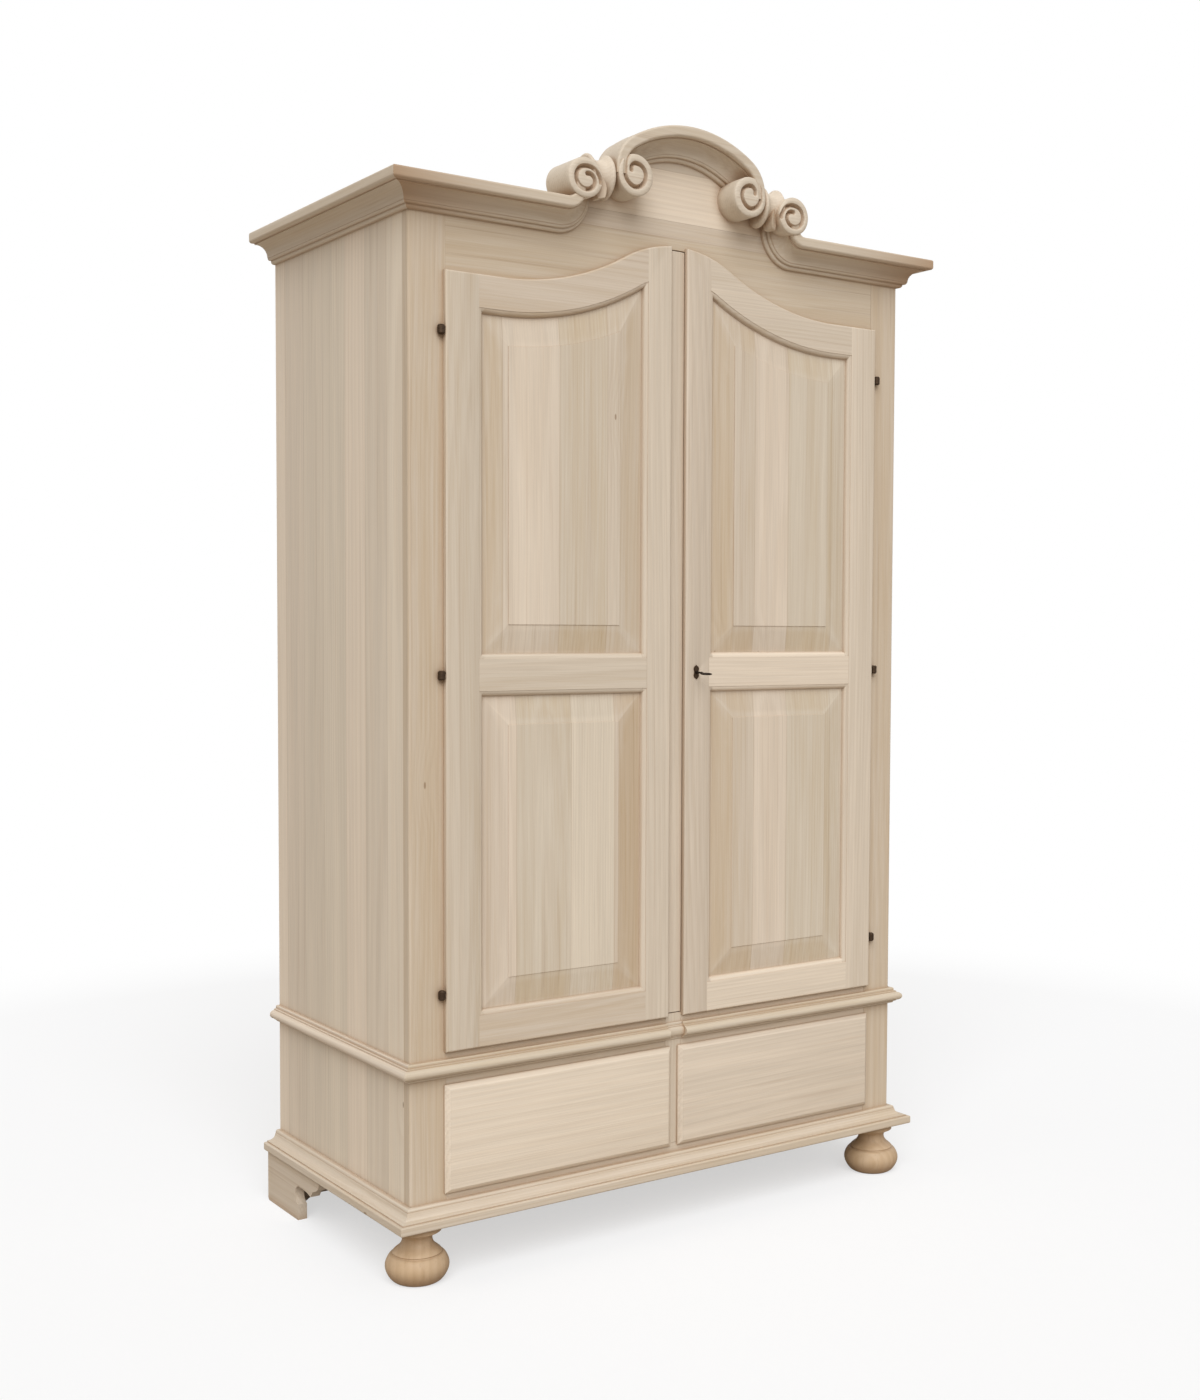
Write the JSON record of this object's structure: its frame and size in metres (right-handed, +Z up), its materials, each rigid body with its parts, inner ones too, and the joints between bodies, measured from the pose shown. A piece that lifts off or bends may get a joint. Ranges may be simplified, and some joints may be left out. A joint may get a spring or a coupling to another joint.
{
  "type": "two-door wardrobe with drawers",
  "caption": "Tall wooden wardrobe with serpentine raised-panel doors over drawers, a moulded cornice with a scrolled arched crest, ball feet in front and scroll-cut bracket feet behind.",
  "frame": {"origin": "centre of the whole size in plan, on the floor under the feet", "axes": "+X to the right seen from the front, +Y from the front to the back, +Z up"},
  "size_m": [1.319, 0.671, 2.225],
  "materials": {
    "pale_wood": "bare sanded softwood, no varnish",
    "turned_wood": "bare wood, slightly darker and warmer",
    "inner_wood": "bare planed boards",
    "dark_bronze": "antique dark bronze, satin"
  },
  "bodies": {
    "case": {"front_posts": "pale_wood", "side_panel_left": "pale_wood", "side_panel_right": "pale_wood", "frieze_board": "pale_wood", "tympanum_board": "pale_wood", "waist_rails": "pale_wood", "centre_post": "pale_wood", "bottom_rail": "pale_wood", "cornice_fronts": "pale_wood", "cornice_returns": "pale_wood", "arch_moulding": "pale_wood", "cornice_volutes": "pale_wood", "arch_volutes": "pale_wood", "crest_collars": "pale_wood", "waist_mouldings": "pale_wood", "base_mouldings": "pale_wood", "bun_feet": "turned_wood", "rear_bracket_feet": "pale_wood", "back_boards": "inner_wood", "rear_posts": "inner_wood", "top_panel": "inner_wood", "wardrobe_floor": "inner_wood", "drawer_floor": "inner_wood", "drawer_runners": "inner_wood", "hat_shelf": "inner_wood", "shelf_battens": "inner_wood", "clothes_rail": "inner_wood", "rail_sockets": "inner_wood", "frame_hinges": "dark_bronze"},
    "left_door": {"left_door_hinge_stile": "pale_wood", "left_door_meeting_stile": "pale_wood", "left_door_top_rail": "pale_wood", "left_door_mid_rail": "pale_wood", "left_door_bottom_rail": "pale_wood", "left_door_upper_panel": "pale_wood", "left_door_lower_panel": "pale_wood", "left_door_hinges": "dark_bronze", "lock_keeper": "dark_bronze", "slide_plates": "dark_bronze"},
    "right_door": {"right_door_hinge_stile": "pale_wood", "right_door_meeting_stile": "pale_wood", "right_door_top_rail": "pale_wood", "right_door_mid_rail": "pale_wood", "right_door_bottom_rail": "pale_wood", "right_door_upper_panel": "pale_wood", "right_door_lower_panel": "pale_wood", "right_door_hinges": "dark_bronze", "lock_case": "dark_bronze", "key_plate": "dark_bronze"},
    "key": {"key": "dark_bronze"},
    "lock_bolt": {"lock_bolt": "dark_bronze"},
    "top_slide_bolt": {"top_slide_bolt": "dark_bronze"},
    "bottom_slide_bolt": {"bottom_slide_bolt": "dark_bronze"},
    "left_drawer": {"left_drawer_front": "pale_wood", "left_drawer_box": "inner_wood", "left_drawer_bottom": "inner_wood"},
    "right_drawer": {"right_drawer_front": "pale_wood", "right_drawer_box": "inner_wood", "right_drawer_bottom": "inner_wood"}
  },
  "joints": [
    {"name": "left_door_swing", "type": "hinge", "parent": "case", "child": "left_door", "pos_m": [-0.539, -0.282, 1.2], "axis": [0, 0, -1], "range_deg": [0, 170]},
    {"name": "right_door_swing", "type": "hinge", "parent": "case", "child": "right_door", "pos_m": [0.539, -0.282, 1.2], "axis": [0, 0, 1], "range_deg": [0, 170]},
    {"name": "left_drawer_slide", "type": "slide", "parent": "case", "child": "left_drawer", "axis": [0, -1, 0], "range_m": [0, 0.36]},
    {"name": "right_drawer_slide", "type": "slide", "parent": "case", "child": "right_drawer", "axis": [0, -1, 0], "range_m": [0, 0.36]},
    {"name": "key_turn", "type": "hinge", "parent": "right_door", "child": "key", "pos_m": [0.045, -0.2745, 1.14], "axis": [0, -1, 0], "range_deg": [0, 180]},
    {"name": "lock_bolt_slide", "type": "slide", "parent": "right_door", "child": "lock_bolt", "axis": [-1, 0, 0], "range_m": [0, 0.012]},
    {"name": "top_bolt_slide", "type": "slide", "parent": "left_door", "child": "top_slide_bolt", "axis": [0, 0, 1], "range_m": [0, 0.014]},
    {"name": "bottom_bolt_slide", "type": "slide", "parent": "left_door", "child": "bottom_slide_bolt", "axis": [0, 0, -1], "range_m": [0, 0.014]}
  ],
  "couplings": [
    {"joint": "key_turn", "follows": "lock_bolt_slide", "rad_per_m": 261.8}
  ]
}
